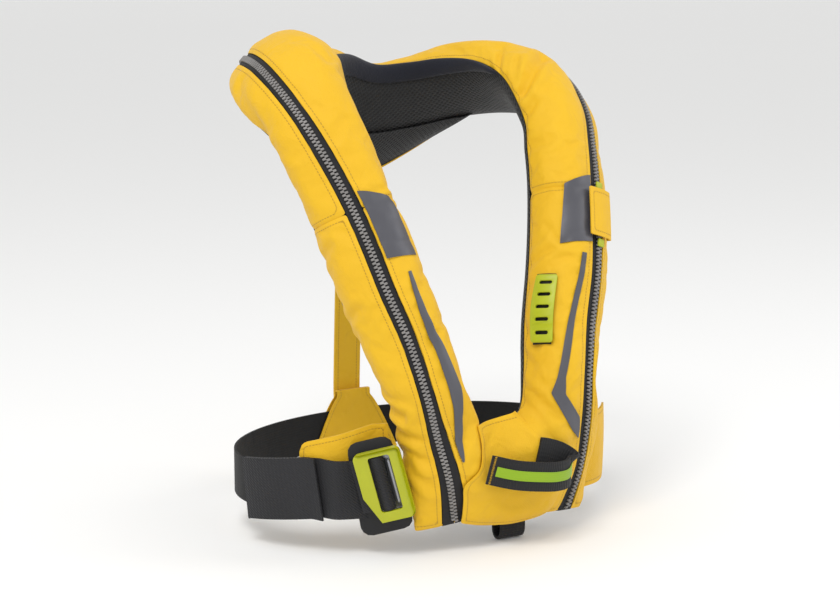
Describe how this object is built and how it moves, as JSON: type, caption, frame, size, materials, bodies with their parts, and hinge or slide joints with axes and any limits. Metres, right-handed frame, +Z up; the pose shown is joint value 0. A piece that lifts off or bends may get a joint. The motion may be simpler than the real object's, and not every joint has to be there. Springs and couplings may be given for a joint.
{
  "type": "inflatable life jacket",
  "caption": "Horseshoe inflatable life jacket for sailing, with a burst zip cover, folded bladder, gas inflator, back strap, waist belt with plate buckle, and harness and crotch loops.",
  "frame": {"origin": "on the wearer's torso axis, at the height of the crotch strap loop's lowest point", "axes": "+X to the wearer's left, -Y in front of the wearer, +Z up"},
  "size_m": [0.3625, 0.3086, 0.4341],
  "materials": {
    "cover_fabric": "woven, matt",
    "spacer_mesh": "open knitted mesh",
    "fleece": "brushed pile",
    "webbing": "woven, matt",
    "elastic": "woven elastic",
    "reflective_tape": "satin",
    "lime_tape": "woven, matt",
    "zip_tape": "woven",
    "zip_teeth": "moulded",
    "lime_plastic": "moulded, satin",
    "plate_paint": "powder coated",
    "steel": "zinc plated",
    "black_rubber": "moulded",
    "bladder_fabric": "coated",
    "red_plastic": "moulded",
    "white_plastic": "moulded"
  },
  "bodies": {
    "jacket": {"right_front_panel": "cover_fabric", "right_side_panel": "cover_fabric", "right_mesh_lining": "spacer_mesh", "collar_front_panel": "cover_fabric", "collar_side_panel": "cover_fabric", "collar_mesh_lining": "spacer_mesh", "left_front_panel": "cover_fabric", "left_side_panel": "cover_fabric", "left_mesh_lining": "spacer_mesh", "right_hem": "cover_fabric", "left_hem": "cover_fabric", "zip_tape_neck_side": "zip_tape", "zip_tape_outer_side": "zip_tape", "zip_teeth": "zip_teeth", "reflective_patch_right": "reflective_tape", "reflective_stripe_right": "reflective_tape", "reflective_patch_left": "reflective_tape", "reflective_stripe_left": "reflective_tape", "bladder": "bladder_fabric", "inflator_body": "black_rubber", "lever_pin": "steel", "oral_tube": "black_rubber", "oral_valve": "white_plastic", "whistle": "lime_plastic", "whistle_cord": "white_plastic", "neck_fleece": "fleece", "yoke_mesh": "spacer_mesh", "yoke_cover": "cover_fabric", "back_strap": "cover_fabric", "belt_sleeve": "cover_fabric", "rear_belt": "elastic", "front_strap": "elastic", "belt_webbing": "webbing", "belt_tail": "webbing", "wing_left": "cover_fabric", "wing_right": "cover_fabric", "buckle_pad": "black_rubber", "buckle_hook_plate": "steel", "buckle_webbing_turn": "webbing", "accessory_ladder": "lime_plastic", "ladder_backing": "black_rubber"},
    "burst_tab": {"burst_tab": "cover_fabric"},
    "slider": {"zip_slider": "steel"},
    "cylinder": {"gas_cylinder": "steel"},
    "cap": {"inflator_cap": "lime_plastic"},
    "lever": {"inflator_lever": "red_plastic"},
    "pull": {"pull_handle": "red_plastic", "pull_cord": "red_plastic"},
    "oral_cap": {"oral_cap": "lime_plastic"},
    "buckle": {"buckle_plate": "plate_paint"},
    "harness": {"harness_loop": "webbing", "harness_loop_stripe": "lime_tape"},
    "crotch": {"crotch_loop": "webbing"}
  },
  "joints": [
    {"name": "burst_tab_lift", "type": "hinge", "parent": "jacket", "child": "burst_tab", "pos_m": [0.13264, -0.10759, 0.27278], "axis": [0.2194, 0.3453, 0.9125], "range_deg": [0, 100]},
    {"name": "slider_run", "type": "slide", "parent": "jacket", "child": "slider", "axis": [-0.2306, -0.3887, -0.892], "range_m": [-0.004, 0.004]},
    {"name": "cylinder_turn", "type": "hinge", "parent": "jacket", "child": "cylinder", "pos_m": [0.066, -0.1255, 0.088], "axis": [0.2055, 0.1957, 0.9589], "continuous": true},
    {"name": "cap_turn", "type": "hinge", "parent": "jacket", "child": "cap", "pos_m": [0.066, -0.1255, 0.088], "axis": [0.2055, 0.1957, 0.9589], "range_deg": [0, 90]},
    {"name": "lever_swing", "type": "hinge", "parent": "jacket", "child": "lever", "pos_m": [0.05001, -0.12596, 0.08735], "axis": [-0.0205, 0.9805, -0.1957], "range_deg": [0, 20], "stiffness_Nm_per_rad": 0.02},
    {"name": "pull_down", "type": "slide", "parent": "jacket", "child": "pull", "axis": [0, 0, -1], "range_m": [0, 0.006]},
    {"name": "oral_cap_lift", "type": "slide", "parent": "jacket", "child": "oral_cap", "axis": [-0.2903, 0.2557, 0.9221], "range_m": [0, 0.008]},
    {"name": "buckle_open", "type": "hinge", "parent": "jacket", "child": "buckle", "pos_m": [-0.12395, -0.11157, 0.06008], "axis": [-0.235, 0.1, 0.9668], "range_deg": [-75, 0]},
    {"name": "harness_swing", "type": "hinge", "parent": "jacket", "child": "harness", "pos_m": [-0.025, -0.154, 0.074], "axis": [0.9772, -0.0611, 0.2035], "range_deg": [-15, 9]},
    {"name": "crotch_swing", "type": "hinge", "parent": "jacket", "child": "crotch", "pos_m": [0.019, -0.118, 0.026], "axis": [1, 0, 0], "range_deg": [-12, 45]}
  ],
  "couplings": [
    {"joint": "lever_swing", "follows": "pull_down", "rad_per_m": 58}
  ]
}
